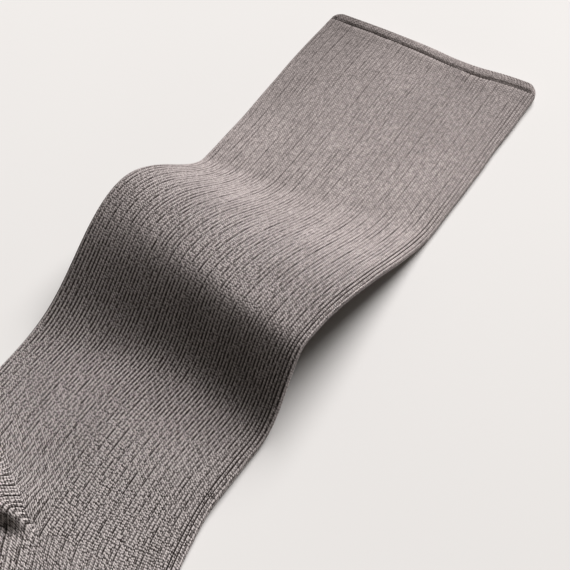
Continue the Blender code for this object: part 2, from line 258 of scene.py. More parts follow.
def wave_normal(x, y):
    """The unit normal of the lifted middle surface."""
    step = SLOPE_STEP
    slope_x = (wave_height(x + step, y) - wave_height(x - step, y)) / (2 * step)
    slope_y = (wave_height(x, y + step) - wave_height(x, y - step)) / (2 * step)
    normal = np.stack([-slope_x, -slope_y, np.ones_like(slope_x)], axis=-1)
    return normal / np.linalg.norm(normal, axis=-1, keepdims=True)


def direction(degrees):
    return np.array([math.cos(math.radians(degrees)), math.sin(math.radians(degrees))])


LEG_HEADING = -90.0
FOOT_HEADING = LEG_HEADING + FOOT_TURN
FOOT_FORWARD = direction(FOOT_HEADING)
FOOT_ACROSS = direction(FOOT_HEADING + 90)


class Guide:
    """A line in the plan, of straight stretches and arcs, read by the distance run along it."""

    def __init__(self, start_x, stretches):
        self.stretches = []
        point = np.array([start_x, 0.0])
        heading = LEG_HEADING
        run = 0.0
        for kind, size, *turn in stretches:
            self.stretches.append((run, point, heading, kind, size, turn))
            if kind == "straight":
                point = point + size * direction(heading)
                run += size
            else:
                point = self.on_arc(point, heading, size, turn[0], 1.0)
                heading += turn[0]
                run += size * math.radians(abs(turn[0]))
        self.end_run = run
        self.end_point = point

    @staticmethod
    def on_arc(point, heading, radius, degrees, share):
        side = math.copysign(1.0, degrees)
        centre = point + side * radius * direction(heading + 90)
        return centre - side * radius * direction(heading + 90 + degrees * share)

    def at(self, run):
        stretch = next(stretch for stretch in reversed(self.stretches) if run >= stretch[0])
        start, point, heading, kind, size, turn = stretch
        if kind == "straight":
            return point + (run - start) * direction(heading)
        share = (run - start) / (size * math.radians(abs(turn[0])))
        return self.on_arc(point, heading, size, turn[0], share)

    def run_at_foot(self, forward):
        """The distance run where the guide has come this far along the foot's direction."""
        return self.end_run + forward - float(self.end_point @ FOOT_FORWARD)


def make_guides():
    """The three guide lines. Their last stretch is straight, along the foot, at its width."""
    instep = Guide(
        HALF_WIDTH,
        [("straight", INSTEP_STRAIGHT), ("turn", INSTEP_RADIUS, FOOT_TURN), ("straight", 0.0)],
    )
    instep_line = float(instep.end_point @ FOOT_ACROSS)

    def with_middle_stretch(start_x, before, after, line):
        """A guide whose middle straight is as long as it takes to end on a line of the foot."""
        plain = Guide(start_x, before + after)
        heading = LEG_HEADING + sum(stretch[2] for stretch in before if stretch[0] == "turn")
        drift = float(direction(heading) @ FOOT_ACROSS)
        missing = (line - float(plain.end_point @ FOOT_ACROSS)) / drift
        return Guide(start_x, before + [("straight", missing)] + after + [("straight", 0.0)])

    heel_edge = with_middle_stretch(
        -HALF_WIDTH,
        [("straight", HEEL_EDGE_STRAIGHT), ("turn", HEEL_FLARE_RADIUS, -HEEL_FLARE)],
        [("turn", HEEL_RADIUS, HEEL_FLARE + FOOT_TURN)],
        instep_line - FOOT_WIDTH,
    )
    gore_line = instep_line - FOOT_WIDTH * (1 - GORE_WALE) / 2
    gore_wale = with_middle_stretch(
        GORE_WALE * HALF_WIDTH,
        [
            ("straight", GORE_WALE_STRAIGHT),
            ("turn", GORE_WALE_LEAN_RADIUS, GORE_WALE_LEAN),
            ("turn", GORE_RADIUS, GORE_TURN),
        ],
        [("turn", GORE_WALE_LAST_RADIUS, FOOT_TURN - GORE_WALE_LEAN - GORE_TURN)],
        gore_line,
    )
    return instep, gore_wale, heel_edge


GUIDES = make_guides()


def heel_back():
    """The least reach of the heel along the foot's direction."""
    heel_edge = GUIDES[2]
    runs = np.linspace(HEEL_EDGE_STRAIGHT, heel_edge.end_run, 200)
    return min(float(heel_edge.at(run) @ FOOT_FORWARD) for run in runs)


FOOT_START = max(float(guide.end_point @ FOOT_FORWARD) for guide in GUIDES) + FOOT_START_MARGIN
TOE_SEAM = heel_back() + FOOT_LENGTH - TOE_LENGTH


def row_between(instep_point, gore_point, heel_point, bow=0.0):
    """A function that gives the plan point at a place across a row, from -1 to 1.

    The bow moves the wales of the heel's side out along the row, away from the gore.
    """

    def place(across):
        across = np.asarray(across, float)[..., None]
        from_edge = np.clip((across + 1) / (GORE_WALE + 1), 0, 1)
        from_gore = (across - GORE_WALE) / (1 - GORE_WALE)
        bowed = from_edge * (1 - bow * (1 - from_edge))
        on_heel_side = heel_point + (gore_point - heel_point) * bowed
        on_instep_side = gore_point + (instep_point - gore_point) * from_gore
        return np.where(across < GORE_WALE, on_heel_side, on_instep_side)

    return place


def leg_row(distance, half_width, edge_dip):
    """A row across the leg. Near the cuff it tilts a little and its middle dips to the heel."""
    sway = LEG_SWAY * math.exp(-(((distance - LEG_SWAY_PLACE) / LEG_SWAY_REACH) ** 2))
    tilt = CUFF_TILT * math.exp(-((distance / CUFF_TILT_FADE) ** 2))

    def place(across):
        across = np.asarray(across, float)
        dip = edge_dip * np.exp(-(((across - CUFF_DIP_PLACE) / CUFF_DIP_SPREAD) ** 2))
        return np.stack([across * half_width + sway, -distance - dip + tilt * across], axis=-1)

    return place


# ---- Finer form of the dressed sock ------------------------


def smooth_step(value):
    value = np.clip(value, 0, 1)
    return value * value * (3 - 2 * value)


class SoftNoise:
    """Smooth random heights between -1 and 1 over a plane, the same on every run."""

    LATTICE = 97

    def __init__(self, seed, cell_x, cell_y):
        self.cell = (cell_x, cell_y)
        self.values = np.random.default_rng(seed).uniform(-1, 1, (self.LATTICE, self.LATTICE))

    def __call__(self, x, y):
        column, row = np.asarray(x) / self.cell[0], np.asarray(y) / self.cell[1]
        left, low = np.floor(column).astype(int), np.floor(row).astype(int)
        across, along = smooth_step(column - left), smooth_step(row - low)
        total = 0.0
        for step_x, weight_x in ((0, 1 - across), (1, across)):
            for step_y, weight_y in ((0, 1 - along), (1, along)):
                found = self.values[(left + step_x) % self.LATTICE, (low + step_y) % self.LATTICE]
                total = total + weight_x * weight_y * found
        return total


# The rib repeats after three wales, with one deep groove and two shallower ones
REPEAT_DEPTHS = np.array([1.15, 0.7, 0.9])

# Unevenness of the knit: how deep a wale's groove is along it, how the cloth's face and its folded
# edges waver, and how the welt's cut varies
GROOVE_DEPTH_NOISE = SoftNoise(11, 1.0, 22.0)
GROOVE_NOISE_STRIDE = 3.7
GROOVE_SHARE = (0.75, 0.42)
FACE_NOISE_COARSE = SoftNoise(12, 23.0, 31.0)
FACE_COARSE = 0.26
FACE_NOISE_FINE = SoftNoise(13, 7.0, 10.0)
FACE_FINE = 0.09
EDGE_NOISE = SoftNoise(14, 5.0, 11.0)
EDGE_NOISE_PLACE = 9.0
EDGE_WAVER = 0.16
CUT_DEPTH_NOISE = SoftNoise(15, 5.0, 1.0)
CUT_PLACE_NOISE = SoftNoise(16, 7.0, 1.0)

# Over how many wales from the folds the ribs of the lower layer sink, so that it lies flat
UNDER_FADE = 2.0


def outline(around, thickness, margin=0.0):
    """Places round a flattened tube, as (across, up) and the outward direction there.

    "around" counts wales: 0 at the heel fold, WALES_ACROSS at the instep fold along the upper
    layer, and on to WALES_AROUND, back at the heel fold, along the lower layer.
    """
    radius = thickness / 2
    flat = 2 * (HALF_WIDTH - margin - radius)
    quarter = math.pi * radius / 2
    length = flat + 2 * quarter
    upper = around <= WALES_ACROSS
    run = np.where(upper, around, WALES_AROUND - around) / WALES_ACROSS * length
    heel_angle = np.clip(run / radius, 0, math.pi / 2)
    instep_angle = np.clip((length - run) / radius, 0, math.pi / 2)
    across = np.clip(run - quarter, 0, flat) - flat / 2
    across = across - radius * np.cos(heel_angle) + radius * np.cos(instep_angle)
    out_across = -np.cos(heel_angle) + np.cos(instep_angle)
    out_up = np.where(upper, 1.0, -1.0) * np.minimum(np.sin(heel_angle), np.sin(instep_angle))
    return across, radius * out_up, out_across, out_up


def rib_height(around):
    """A wale's cross section, from -1 in its narrow groove to 1 along its broad crest."""
    return 1 - 2 * (1 - np.abs(np.sin(math.pi * around))) ** 2


def rib_lift(around, along):
    """How far the knit's face stands off the plain outline, in millimetres."""
    wale_border = np.round(around)
    unevenness = GROOVE_DEPTH_NOISE(wale_border * GROOVE_NOISE_STRIDE, along)
    depth = GROOVE_SHARE[0] + GROOVE_SHARE[1] * unevenness
    depth = depth * REPEAT_DEPTHS[wale_border.astype(int) % len(REPEAT_DEPTHS)]
    rib = 1 - (1 - rib_height(around)) * depth
    past_fold = np.minimum(around - WALES_ACROSS, WALES_AROUND - around)
    return RIB_DEPTH / 2 * (rib - smooth_step(past_fold / UNDER_FADE))


def ring_points(place, around, thickness, middle, along=0.0, margin=0.0, ribbed=True):
    """Drawing points of a ring of the tube, its middle this high over the wave's own height.

    A ribbed ring has the knit's relief at this distance along the sock.
    """
    across_mm, up, out_across, out_up = outline(around, thickness, margin)
    if ribbed:
        lift = rib_lift(around, along)
        across_mm = across_mm + lift * out_across
        up = up + lift * out_up
    across = np.clip(across_mm / HALF_WIDTH, -1, 1)
    overhang = across_mm / HALF_WIDTH - across
    plan = place(across)
    edge_direction = place(np.array([1.0])) - place(np.array([-1.0]))
    if ribbed:
        side = np.sign(across)
        fold_reach = smooth_step((np.abs(across) - WAVER_START) / (1 - WAVER_START)) * side
        waver = EDGE_WAVER / HALF_WIDTH * EDGE_NOISE(side * EDGE_NOISE_PLACE, along)
        overhang = overhang + fold_reach * waver
    plan = plan + overhang[:, None] * edge_direction / 2
    x, y = plan[:, 0], plan[:, 1]
    on_fold = np.abs(across) > FOLD_START
    fold_share = np.clip((up + THICKNESS / 2) / THICKNESS, 0, 1)
    upper_share = np.where(on_fold, fold_share, (up > 0).astype(float))
    points = np.column_stack([x, y, wave_height(x, y) + middle])
    points = points + up[:, None] * wave_normal(x, y)
    points[:, 2] += upper_share * (swell_height(x, y) + puff_height(x, y))
    if ribbed:
        face = FACE_COARSE * FACE_NOISE_COARSE(x, y) + FACE_FINE * FACE_NOISE_FINE(x, y)
        points[:, 2] += upper_share * face
    return points


def columns():
    """Places round the tube of the dressed mesh's columns, in wales."""
    upper = [wale + step for wale in range(WALES_ACROSS) for step in UPPER_STEPS]
    under = [WALES_ACROSS + wale + step for wale in range(WALES_ACROSS) for step in UNDER_STEPS]
    return np.array(upper + under)


COLUMNS = columns()
INNER_COLUMNS = np.linspace(0, WALES_AROUND, INNER_POINTS, endpoint=False)


def off_folds(fade):
    """For each column, 1 on the upper layer, falling to 0 at its folds over this many wales."""
    return smooth_step(np.minimum(COLUMNS, WALES_ACROSS - COLUMNS) / fade)


def cut_welt_groove(points, distance):
    """Lowers the upper layer along the seam of the welt, unevenly, and not at the folds."""
    x = points[:, 0]
    place = WELT_LENGTH + WELT_CUT_STRAY * CUT_PLACE_NOISE(x, 0.0)
    depth = WELT_CUT * (WELT_CUT_SHARE[0] + WELT_CUT_SHARE[1] * CUT_DEPTH_NOISE(x, 0.0))
    profile = np.exp(-(((distance - place) / WELT_CUT_WIDTH) ** 2))
    points[:, 2] -= off_folds(WELT_CUT_FADE) * depth * profile
    return points


def inner_ring(place, middle):
    """A ring of the plain inside of the tube."""
    return ring_points(place, INNER_COLUMNS, SLIT, middle, margin=WALL, ribbed=False)


class KnitMesh:
    """A closed stretch of the tube, with the knit's wales and courses as a map on its corners."""

    def __init__(self):
        self.points = []
        self.faces = []
        self.knit = []
        self.count = 0

    def add(self, points):
        first = self.count
        self.points.append(points)
        self.count += len(points)
        return np.arange(first, self.count)

    def skin(self, rings, around, outward, courses):
        """Quads round and along rows of points. Each wale keeps its own count of courses."""
        ring = np.array(rings)
        following = np.roll(ring, -1, axis=1)
        wale_here = around
        wale_next = np.append(around[1:], WALES_AROUND)
        wale_of_face = np.floor((wale_here + wale_next) / 2).astype(int)
        for row in range(len(rings) - 1):
            corners = [ring[row], ring[row + 1], following[row + 1], following[row]]
            course_here = courses[row][wale_of_face]
            course_next = courses[row + 1][wale_of_face]
            knit = [
                (wale_here, course_here),
                (wale_here, course_next),
                (wale_next, course_next),
                (wale_next, course_here),
            ]
            if not outward:
                corners.reverse()
                knit.reverse()
            self.faces.append(np.stack(corners, axis=1))
            self.knit.append(np.stack([np.stack(pair, axis=1) for pair in knit], axis=1))

    def band(self, outer, inner, courses, flip):
        """Triangles across the cut edge of the cloth, between an outer and an inner ring."""
        i = j = 0
        triangles = []
        knit = []
        outer_keys = np.append(COLUMNS, WALES_AROUND)
        inner_keys = np.append(INNER_COLUMNS, WALES_AROUND)
        outer_steps = np.append(outer_keys[1:] + outer_keys[:-1], np.inf)
        inner_steps = np.append(inner_keys[1:] + inner_keys[:-1], np.inf)
        outer = np.append(outer, outer[0])
        inner = np.append(inner, inner[0])
        while i < len(outer) - 1 or j < len(inner) - 1:
            if outer_steps[i] <= inner_steps[j]:
                triangles.append((outer[i], outer[i + 1], inner[j]))
                knit.append((outer_keys[i], outer_keys[i + 1], inner_keys[j]))
                i += 1
            else:
                triangles.append((outer[i], inner[j + 1], inner[j]))
                knit.append((outer_keys[i], inner_keys[j + 1], inner_keys[j]))
                j += 1
        triangles = np.array(triangles)
        knit = np.array(knit)
        if flip:
            triangles = triangles[:, ::-1]
            knit = knit[:, ::-1]
        self.faces.append(triangles)
        self.knit.append(np.stack([knit, np.full_like(knit, courses.mean())], axis=2))

    def cap(self, ring, places, courses, outward):
        """A fan of triangles that closes a ring."""
        middle = self.add(places.mean(axis=0, keepdims=True))
        fan = np.stack([ring, np.full(len(ring), middle[0]), np.roll(ring, -1)], axis=1)
        self.faces.append(fan if outward else fan[:, ::-1])
        self.knit.append(np.full((len(fan), 3, 2), courses.mean()))

    def to_object(self, name, material):
        points = (np.concatenate(self.points) - ORIGIN) * MM
        corner_counts = np.repeat(
            [faces.shape[1] for faces in self.faces], [len(faces) for faces in self.faces]
        )
        corners = np.concatenate([faces.reshape(-1) for faces in self.faces])
        knit = np.concatenate([pairs.reshape(-1, 2) for pairs in self.knit])
        mesh = bpy.data.meshes.new(name)
        mesh.vertices.add(len(points))
        mesh.vertices.foreach_set("co", points.astype(np.float32).ravel())
        mesh.loops.add(len(corners))
        mesh.loops.foreach_set("vertex_index", corners.astype(np.int32))
        mesh.polygons.add(len(corner_counts))
        starts = np.concatenate([[0], np.cumsum(corner_counts)[:-1]])
        mesh.polygons.foreach_set("loop_start", starts.astype(np.int32))
        mesh.update(calc_edges=True)
        mesh.validate()
        layer = mesh.uv_layers.new(name=KNIT_MAP)
        layer.uv.foreach_set("vector", knit.astype(np.float32).ravel())
        mesh.shade_smooth()
        mesh.set_sharp_from_angle(angle=math.radians(SHARP_ANGLE))
        mesh.materials.append(material)
        obj = bpy.data.objects.new(name, mesh)
        bpy.context.scene.collection.objects.link(obj)
        return obj


def wale_courses(grid, start):
    """For every row and wale, how many courses lie between the row and the cuff."""
    centre_columns = [np.argmin(np.abs(COLUMNS - (wale + 0.5))) for wale in range(WALES_AROUND)]
    centres = grid[:, centre_columns]
    steps = np.linalg.norm(np.diff(centres, axis=0), axis=2)
    run = np.concatenate([np.zeros((1, WALES_AROUND)), np.cumsum(steps, axis=0)])
    return start + run / COURSE


def open_tube(name, rows, material, start_course):
    """A stretch that is open at both ends. Each row is (place, thickness, distance along)."""
    knit = KnitMesh()
    grid = []
    for place, thickness, distance in rows:
        ring = ring_points(place, COLUMNS, thickness, thickness / 2, along=distance)
        grid.append(cut_welt_groove(ring, distance))
    courses = wale_courses(np.array(grid), start_course)
    outer = [knit.add(ring) for ring in grid]
    knit.skin(outer, COLUMNS, True, courses)
    chosen = sorted({*range(0, len(rows), INNER_ROW_SKIP), len(rows) - 1})
    inner = [knit.add(inner_ring(rows[index][0], rows[index][1] / 2)) for index in chosen]
    knit.skin(inner, INNER_COLUMNS, False, courses[chosen])
    knit.band(outer[0], inner[0], courses[0], False)
    knit.band(outer[-1], inner[-1], courses[-1], True)
    return knit.to_object(name, material), courses[-1]


def leg_distances():
    """Distances from the cuff of the leg's rows, evenly apart along the wave's middle line."""
    fine = np.linspace(WELT_LENGTH, LEG_END, 4000)
    heights = wave_height(np.zeros_like(fine), -fine)
    run = np.concatenate([[0.0], np.cumsum(np.hypot(np.diff(fine), np.diff(heights)))])
    count = int(round(run[-1] / LEG_ROW_STEP))
    return np.interp(np.linspace(0, run[-1], count + 1), run, fine)


def leg_rows():
    """The leg's rows: as thick as the welt's end at first, and along the guides by the ankle."""
    welt_end = WELT_EXTRA * WELT_ROWS[-1].fullness
    rows = []
    for distance in leg_distances():
        dip = CUFF_DIP * math.exp(-(((distance - WELT_LENGTH) / CUFF_DIP_FADE) ** 2))
        near_welt = math.exp(-(((distance - WELT_LENGTH) / WELT_GROOVE_FADE) ** 2))
        place = leg_row(distance, HALF_WIDTH, dip)
        if distance > INSTEP_STRAIGHT:
            place = row_between(*(guide.at(distance) for guide in GUIDES))
        rows.append((place, THICKNESS + welt_end * near_welt, distance))
    return rows


def smooth_runs(values, steps):
    """Even steps between table rows, along a smooth curve through all of them."""
    values = np.array(values, float)
    slopes = np.gradient(values, axis=0)
    fine = []
    for index in range(len(values) - 1):
        for step in range(steps[index]):
            t = step / steps[index]
            fine.append(
                (2 * t**3 - 3 * t**2 + 1) * values[index]
                + (t**3 - 2 * t**2 + t) * slopes[index]
                + (3 * t**2 - 2 * t**3) * values[index + 1]
                + (t**3 - t**2) * slopes[index + 1]
            )
    fine.append(values[-1])
    return fine


def foot_rows():
    """The heel's rows from their table, then even rows along the foot up to the toe's seam."""
    keys = list(HEEL_ROWS)
    for forward in (FOOT_START, TOE_SEAM):
        keys.append([guide.run_at_foot(forward) for guide in GUIDES] + [0.0])
    longest = [max(np.subtract(after, before)) for before, after in zip(keys, keys[1:])]
    steps = [math.ceil(length / FOOT_ROW_STEP) for length in longest]
    heel_runs = smooth_runs(keys[:-1], steps[:-1])
    straight_runs = list(np.linspace(keys[-2], keys[-1], steps[-1] + 1))[1:]
    rows = []
    for runs in [*heel_runs, *straight_runs]:
        points = [guide.at(run) for guide, run in zip(GUIDES, runs)]
        rows.append((row_between(*points, bow=runs[3]), THICKNESS, float(runs[0])))
    return rows


def toe_row(distance, drawn_in=0.0):
    """A row across the toe cap, at a distance from its seam."""
    instep, _, heel_edge = GUIDES
    narrowing = max(1 - (distance / TOE_LENGTH) ** TOE_BLUNTNESS, 0.0)
    half_width = TOE_TIP_HALF_WIDTH + (FOOT_WIDTH / 2 - TOE_TIP_HALF_WIDTH) * math.sqrt(narrowing)
    ends = [guide.at(guide.run_at_foot(TOE_SEAM + distance)) for guide in (instep, heel_edge)]
    middle = (ends[0] + ends[1]) / 2
    reach = (half_width - drawn_in) * FOOT_ACROSS
    return row_between(middle + reach, middle + GORE_WALE * reach, middle - reach)


def toe_tube(name, material, start_course):
    """The toe cap in plain knit, closed at its tip, with the ridge of its linking seam."""
    tip_start = TOE_LENGTH * (1 - TOE_TIP_SHARE)
    seam_rows = np.linspace(0, TOE_SEAM_ROWS_END, TOE_SEAM_ROWS)
    body_rows = np.linspace(TOE_SEAM_ROWS_END, tip_start, TOE_BODY_ROWS)[1:]
    tip_rows = TOE_LENGTH * (1 - TOE_TIP_SHARE * np.linspace(1, 0, TOE_TIP_ROWS)[1:] ** 2)
    knit = KnitMesh()
    grid = []
    for distance in [*seam_rows, *body_rows, *tip_rows]:
        ring = ring_points(toe_row(distance), COLUMNS, THICKNESS, THICKNESS / 2, along=distance)
        off_ridge = (distance - TOE_SEAM_WIDTH / 2) / (TOE_SEAM_WIDTH / 2)
        ring[:, 2] += TOE_SEAM_RIDGE * math.exp(-(off_ridge**2)) * off_folds(TOE_SEAM_FADE)
        grid.append(ring)
    outer = [knit.add(ring) for ring in grid]
    courses = wale_courses(np.array(grid), start_course)
    knit.skin(outer, COLUMNS, True, courses)
    knit.cap(outer[-1], grid[-1], courses[-1], True)
    even_end, last_but_one = (TOE_LENGTH * share for share in TOE_INNER_SHARES)
    inner_grid = []
    for distance in [*np.linspace(0, even_end, TOE_INNER_ROWS), last_but_one, TOE_LENGTH - WALL]:
        place = toe_row(distance, WALL * distance / TOE_LENGTH)
        inner_grid.append(inner_ring(place, THICKNESS / 2))
    inner = [knit.add(ring) for ring in inner_grid]
    knit.skin(inner, INNER_COLUMNS, False, courses[: len(inner)])
    knit.cap(inner[-1], inner_grid[-1], courses[-1], False)
    knit.band(outer[0], inner[0], courses[0], False)
    return knit.to_object(name, material)


def welt_tube(name, material):
    """The rolled edge: one skin from the groove, round the lip and back along the inside."""
    table = np.array(WELT_ROWS)
    knit = KnitMesh()
    grid = []
    lip_radius = (THICKNESS + WELT_EXTRA - SLIT) / 4
    lip_share = lip_radius / WELT_LENGTH

    def row_at(share):
        """The row's place across, its thickness with the roll, and its distance from the cuff."""
        fullness = np.interp(share, table[:, 0], table[:, 1])
        corner = np.interp(share, table[:, 0], table[:, 2])
        distance = share * WELT_LENGTH
        place = leg_row(distance, HALF_WIDTH - corner, CUFF_DIP)
        return place, THICKNESS + WELT_EXTRA * fullness, distance

    def outer_row(share, thinner=0.0):
        place, full, distance = row_at(share)
        ring = ring_points(place, COLUMNS, full - thinner, full / 2, along=distance)
        return cut_welt_groove(ring, distance)

    def inner_row(share):
        place, full, _ = row_at(share)
        return ring_points(place, COLUMNS, SLIT, full / 2, ribbed=False)

    for share in np.linspace(1, lip_share, WELT_OUTER_ROWS):
        grid.append(outer_row(share))
    for turn in np.linspace(0, math.pi, WELT_LIP_ROWS)[1:-1]:
        share = lip_share * (1 - math.sin(turn))
        grid.append(outer_row(share, thinner=2 * lip_radius * (1 - math.cos(turn))))
    for share in np.linspace(lip_share, 1, WELT_INNER_ROWS):
        grid.append(inner_row(share))
    grid = np.array(grid)[::-1]
    courses = wale_courses(grid, 0.0)
    courses = courses - courses[-1]
    rings = [knit.add(ring) for ring in grid]
    knit.skin(rings, COLUMNS, True, courses)
    knit.skin([rings[-1], rings[0]], COLUMNS, True, np.zeros((2, WALES_AROUND)))
    return knit.to_object(name, material)


# ---- Materials ---------------------------------------------

# The yarn's colours, from its palest fibres to its heather, and the near black of the painted shade
# that is laid into the pits and grooves between the stitches and near the cuff
YARN_PALEST = (0.98, 0.90, 0.89)
YARN_LIGHT = (0.82, 0.735, 0.727)
YARN_MID = (0.32, 0.28, 0.2768)
# Painted shade, not a yarn colour: the near black for the pits, grooves and splits between the
# stitches, and near the cuff
PAINTED_SHADE_COLOUR = (0.030, 0.022, 0.020)
HEATHER_LIGHT = (0.546, 0.4784, 0.4693)
HEATHER_DARK = (0.3024, 0.26496, 0.25992)

# Zones along the sock, in courses from the cuff: where the stitches and the grooves grow clear,
# where the wave's shaded back comes and goes, on which the grooves are wide and hold more painted
# shade, and where the foot's split stitches start
CLEAR_COURSES = (95.0, 155.0)
GROOVE_CLEAR_COURSES = (55.0, 105.0)
CLEAR_AT_CUFF = 0.5
SHADE_START = (150.0, 182.0)
SHADE_END = (205.0, 265.0)
FOOT_COURSES = (190.0, 260.0)

# Unevenness is drawn on the map of the knit, stretched by so much for each wale and each course
MIDDLE_GRAIN = (7.7, 0.10)
DRIFT_GRAIN = (0.11, 0.06)
GROOVE_GRAIN = (5.3, 0.07)
HEATHER_GRAIN = (1.3, 0.42)

# A stitch: its lean over its wale, its slow drift and its scatter from wale to wale, in courses,
# the scatter of its bead, and how far from the bead's middle the pit starts and is full
STITCH_LEAN = -0.5
STITCH_DRIFT = 1.5
STITCH_STAGGER = 0.25
STITCH_JITTER = 0.36
PIT_EDGE = (0.29, 0.53)

# A groove: where it starts and is full, in half wales from the wale's middle, how much sooner it
# starts behind the wave, how far that middle sways, and the half width of the split in it
GROOVE_EDGE = (0.42, 0.92)
GROOVE_WIDENING = 0.2
MIDDLE_SWAY = 0.45
SPLIT_WIDTH = 0.34

# How dark the painted shade in a groove is: the three of the repeat, its slow wander along the wale
# (the noise's edge, the faintest share and how much less it is at the cuff), and its least share by
# stitch, on the cloth and behind the wave
REPEAT_SHARES = (0.98, 0.58, 0.74)
GROOVE_WANDER = (0.3, 0.68)
GROOVE_FAINTEST = 0.6
GROOVE_FAINTER_AT_CUFF = 0.45
GROOVE_LEAST = 0.55
SHADE_GROOVE_LEAST = 0.6

# The wale round which the grooves hold painted shade all along, over which wales off it that fades,
# and how dark it is
FOLD_WALE = 69.5
FOLD_WALE_REACH = (0.5, 2.5)
FOLD_WALE_SHARE = 0.9

# How dark the painted shade in a pit is by its bead's tone, and how much that changes behind the
# wave, on the foot and at the cuff; and how dark the painted shade in the split is on the foot, and
# by its bead's tone
PIT_BY_TONE = (1.0, 0.35)
PIT_CHANGES = (-0.25, 0.12, -0.35)
SPLIT_STRENGTH = 0.35
SPLIT_BY_TONE = (0.2, 1.0)

# How strongly the yarn's tones are laid on: by bead, by heather, fibre and blotch (the edge of the
# noise, and the shares), and in the zones
BEAD_TINT = 0.8
HEATHER_TINT = ((0.35, 0.65), (0.0, 0.35))
FIBRE_TINT = ((0.35, 0.7), (0.0, 0.25))
BLOTCH_TINT = ((0.38, 0.68), (0.0, 0.3))
CUFF_HEATHER = 0.85
CUFF_HEATHER_EDGE = (0.3, 0.7)
FOOT_PALER = 0.4

# Painted shade darkens the cloth near the cuff, most so by the heel's fold, as if it tilted away
# from
# the lamp: over how many courses and wales, and by what share
CUFF_SHADE_COURSES = (0.0, 85.0)
CUFF_SHADE_WALES = (0.0, 36.0)
CUFF_SHADE = 0.16
CUFF_SHADE_BY_HEEL = 0.45

# Noise over the cloth, for each metre: fibres and blotches
FIBRE_SCALE = 5200.0
BLOTCH_SCALE = 60.0

# The stitch's relief: its height in metres, and the shares of pit, groove, split, fibre and bead
STITCH_HEIGHT = 0.0003
RELIEF_SHARES = (-1.0, -0.8, -0.3, 0.3, 0.3)

KNIT_SURFACE = {
    "Roughness": 0.92,
    "Specular IOR Level": 0.15,
    "Sheen Weight": 0.08,
    "Sheen Roughness": 0.45,
    "Sheen Tint": (0.95, 0.92, 0.9, 1.0),
}

FLOOR_DARK = (0.655, 0.642, 0.636)
FLOOR_LIGHT = (0.685, 0.672, 0.666)
FLOOR_CLOUD_SCALE = 3.0
FLOOR_CLOUD_EDGE = (0.3, 0.7)
FLOOR_SURFACE = {"Roughness": 0.85, "Specular IOR Level": 0.25}


def rgba(colour, shade=1.0):
    return tuple(shade * part for part in colour) + (1.0,)


class Nodes:
    """A short way to write a material's node tree. A value is a socket or a plain number."""

    def __init__(self, name):
        self.material = bpy.data.materials.new(name)
        self.material.use_nodes = True
        self.tree = self.material.node_tree
        self.shader = self.tree.nodes["Principled BSDF"]

    def feed(self, socket, value):
        if isinstance(value, bpy.types.NodeSocket):
            self.tree.links.new(value, socket)
        else:
            socket.default_value = value

    def add(self, kind, *values):
        """A new node, its first inputs fed with these values."""
        node = self.tree.nodes.new(kind)
        for socket, value in zip(node.inputs, values):
            self.feed(socket, value)
        return node

    def math(self, operation, *values, clamp=False):
        node = self.add("ShaderNodeMath", *values)
        node.operation = operation
        node.use_clamp = clamp
        return node.outputs[0]

    def times(self, first, *others):
        for value in others:
            first = self.math("MULTIPLY", first, value)
        return first

    def plus(self, first, *others):
        for value in others:
            first = self.math("ADD", first, value)
        return first

    def scaled(self, value, factor, offset=0.0):
        return self.math("MULTIPLY_ADD", value, factor, offset)

    def larger(self, first, second):
        return self.math("MAXIMUM", first, second)

    def remap(self, value, edge, result=(0.0, 1.0), smooth=True):
        """From one result to the other while the value goes from one edge to the other."""
        node = self.add("ShaderNodeMapRange", value, *edge, *result)
        node.interpolation_type = "SMOOTHSTEP" if smooth else "LINEAR"
        return node.outputs[0]

    def spread(self, tone, low, high):
        """A tone from 0 to 1, spread evenly from low to high."""
        return self.remap(tone, (0.0, 1.0), (low, high), smooth=False)

    def vector(self, x, y):
        return self.add("ShaderNodeCombineXYZ", x, y).outputs[0]

    def noise(self, place, scale, detail, roughness=0.5):
        node = self.add("ShaderNodeTexNoise", place)
        node.inputs["Scale"].default_value = scale
        node.inputs["Detail"].default_value = detail
        node.inputs["Roughness"].default_value = roughness
        return node.outputs["Fac"]

    def cells(self, place, jitter):
        """The distance to the nearest of a lattice of scattered points, and that point's tone."""
        node = self.add("ShaderNodeTexVoronoi", place)
        node.voronoi_dimensions = "2D"
        node.inputs["Scale"].default_value = 1.0
        node.inputs["Randomness"].default_value = jitter
        parts = self.add("ShaderNodeSeparateColor", node.outputs["Color"])
        return node.outputs["Distance"], parts.outputs[0]

    def random(self, place):
        node = self.add("ShaderNodeTexWhiteNoise", place)
        node.noise_dimensions = "2D"
        return node.outputs["Value"]

    def mix(self, share, first, second):
        node = self.add("ShaderNodeMix", share)
        node.data_type = "RGBA"
        colour_inputs = [socket for socket in node.inputs if socket.type == "RGBA"]
        for socket, value in zip(colour_inputs, (first, second)):
            self.feed(socket, value)
        return next(socket for socket in node.outputs if socket.type == "RGBA")

    def object_place(self):
        return self.add("ShaderNodeTexCoord").outputs["Object"]

    def finish(self, colour, surface):
        self.feed(self.shader.inputs["Base Color"], colour)
        for name, value in surface.items():
            self.shader.inputs[name].default_value = value
        return self.material


